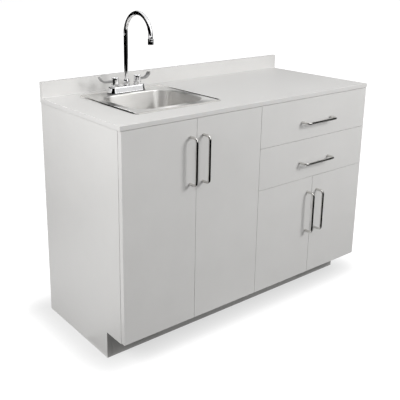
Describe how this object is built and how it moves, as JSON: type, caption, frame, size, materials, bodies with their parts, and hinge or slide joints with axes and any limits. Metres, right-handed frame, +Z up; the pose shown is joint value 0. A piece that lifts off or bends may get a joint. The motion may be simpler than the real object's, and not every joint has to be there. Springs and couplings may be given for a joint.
{
  "type": "medical sink cabinet",
  "caption": "Laminate clinic base cabinet with a drop-in steel sink, gooseneck faucet with wrist-blade handles, hinged doors, drawers and a low backsplash.",
  "frame": {"origin": "on the floor, under the middle of the whole assembly, pulls included", "axes": "+X to the cabinet's right side, +Y to its back, +Z up"},
  "size_m": [1.2192, 0.5732, 1.1758],
  "materials": {
    "laminate": "pale grey laminate on board, matte",
    "sink_steel": "satin stainless steel",
    "chrome": "polished chrome plate",
    "satin_nickel": "satin nickel wire",
    "brass": "plain brass",
    "zinc_plate": "zinc-plated steel",
    "grey_enamel": "grey powder coat"
  },
  "bodies": {
    "cabinet": {"left_side_panel": "laminate", "right_side_panel": "laminate", "centre_partition": "laminate", "bottom_panel": "laminate", "back_panel": "laminate", "toe_kick": "laminate", "front_rail": "laminate", "drawer_divider": "laminate", "countertop": "laminate", "backsplash": "laminate", "sink": "sink_steel", "strainer_body": "chrome", "tailpiece": "chrome", "faucet_base": "chrome", "spout_collar": "chrome", "hot_bonnet": "chrome", "cold_bonnet": "chrome", "valve_body": "brass", "hot_nut": "brass", "cold_nut": "brass", "strainer_locknut": "zinc_plate", "sink_door_left_arm_upper": "zinc_plate", "sink_door_left_arm_lower": "zinc_plate", "sink_door_right_arm_upper": "zinc_plate", "sink_door_right_arm_lower": "zinc_plate", "lower_door_left_arm_upper": "zinc_plate", "lower_door_left_arm_lower": "zinc_plate", "lower_door_right_arm_upper": "zinc_plate", "lower_door_right_arm_lower": "zinc_plate", "upper_drawer_slide_left": "zinc_plate", "upper_drawer_slide_right": "zinc_plate", "lower_drawer_slide_left": "zinc_plate", "lower_drawer_slide_right": "zinc_plate"},
    "sink_door_left": {"sink_door_left": "laminate", "sink_door_left_pull": "satin_nickel", "sink_door_left_cup_upper": "zinc_plate", "sink_door_left_cup_lower": "zinc_plate"},
    "sink_door_right": {"sink_door_right": "laminate", "sink_door_right_pull": "satin_nickel", "sink_door_right_cup_upper": "zinc_plate", "sink_door_right_cup_lower": "zinc_plate"},
    "lower_door_left": {"lower_door_left": "laminate", "lower_door_left_pull": "satin_nickel", "lower_door_left_cup_upper": "zinc_plate", "lower_door_left_cup_lower": "zinc_plate"},
    "lower_door_right": {"lower_door_right": "laminate", "lower_door_right_pull": "satin_nickel", "lower_door_right_cup_upper": "zinc_plate", "lower_door_right_cup_lower": "zinc_plate"},
    "upper_drawer": {"upper_drawer_front": "laminate", "upper_drawer_tray": "grey_enamel", "upper_drawer_pull": "satin_nickel"},
    "lower_drawer": {"lower_drawer_front": "laminate", "lower_drawer_tray": "grey_enamel", "lower_drawer_pull": "satin_nickel"},
    "spout": {"gooseneck_spout": "chrome", "aerator": "chrome"},
    "hot_handle": {"hot_handle": "chrome"},
    "cold_handle": {"cold_handle": "chrome"}
  },
  "joints": [
    {"name": "sink_door_left_hinge", "type": "hinge", "parent": "cabinet", "child": "sink_door_left", "pos_m": [-0.6051, -0.24682, 0.1054], "axis": [0, 0, -1], "range_deg": [0, 110]},
    {"name": "sink_door_right_hinge", "type": "hinge", "parent": "cabinet", "child": "sink_door_right", "pos_m": [-0.001, -0.24682, 0.1054], "axis": [0, 0, 1], "range_deg": [0, 82]},
    {"name": "lower_door_left_hinge", "type": "hinge", "parent": "cabinet", "child": "lower_door_left", "pos_m": [0.001, -0.24682, 0.1054], "axis": [0, 0, -1], "range_deg": [0, 82]},
    {"name": "lower_door_right_hinge", "type": "hinge", "parent": "cabinet", "child": "lower_door_right", "pos_m": [0.6051, -0.24682, 0.1054], "axis": [0, 0, 1], "range_deg": [0, 110]},
    {"name": "upper_drawer_slide", "type": "slide", "parent": "cabinet", "child": "upper_drawer", "axis": [0, -1, 0], "range_m": [0, 0.35]},
    {"name": "lower_drawer_slide", "type": "slide", "parent": "cabinet", "child": "lower_drawer", "axis": [0, -1, 0], "range_m": [0, 0.35]},
    {"name": "spout_swivel", "type": "hinge", "parent": "cabinet", "child": "spout", "pos_m": [-0.2928, 0.18943, 0.8923], "axis": [0, 0, 1], "range_deg": [-90, 90]},
    {"name": "hot_handle_turn", "type": "hinge", "parent": "cabinet", "child": "hot_handle", "pos_m": [-0.3436, 0.18943, 0.9006], "axis": [0, 0, 1], "range_deg": [0, 90]},
    {"name": "cold_handle_turn", "type": "hinge", "parent": "cabinet", "child": "cold_handle", "pos_m": [-0.242, 0.18943, 0.9006], "axis": [0, 0, -1], "range_deg": [0, 90]}
  ]
}
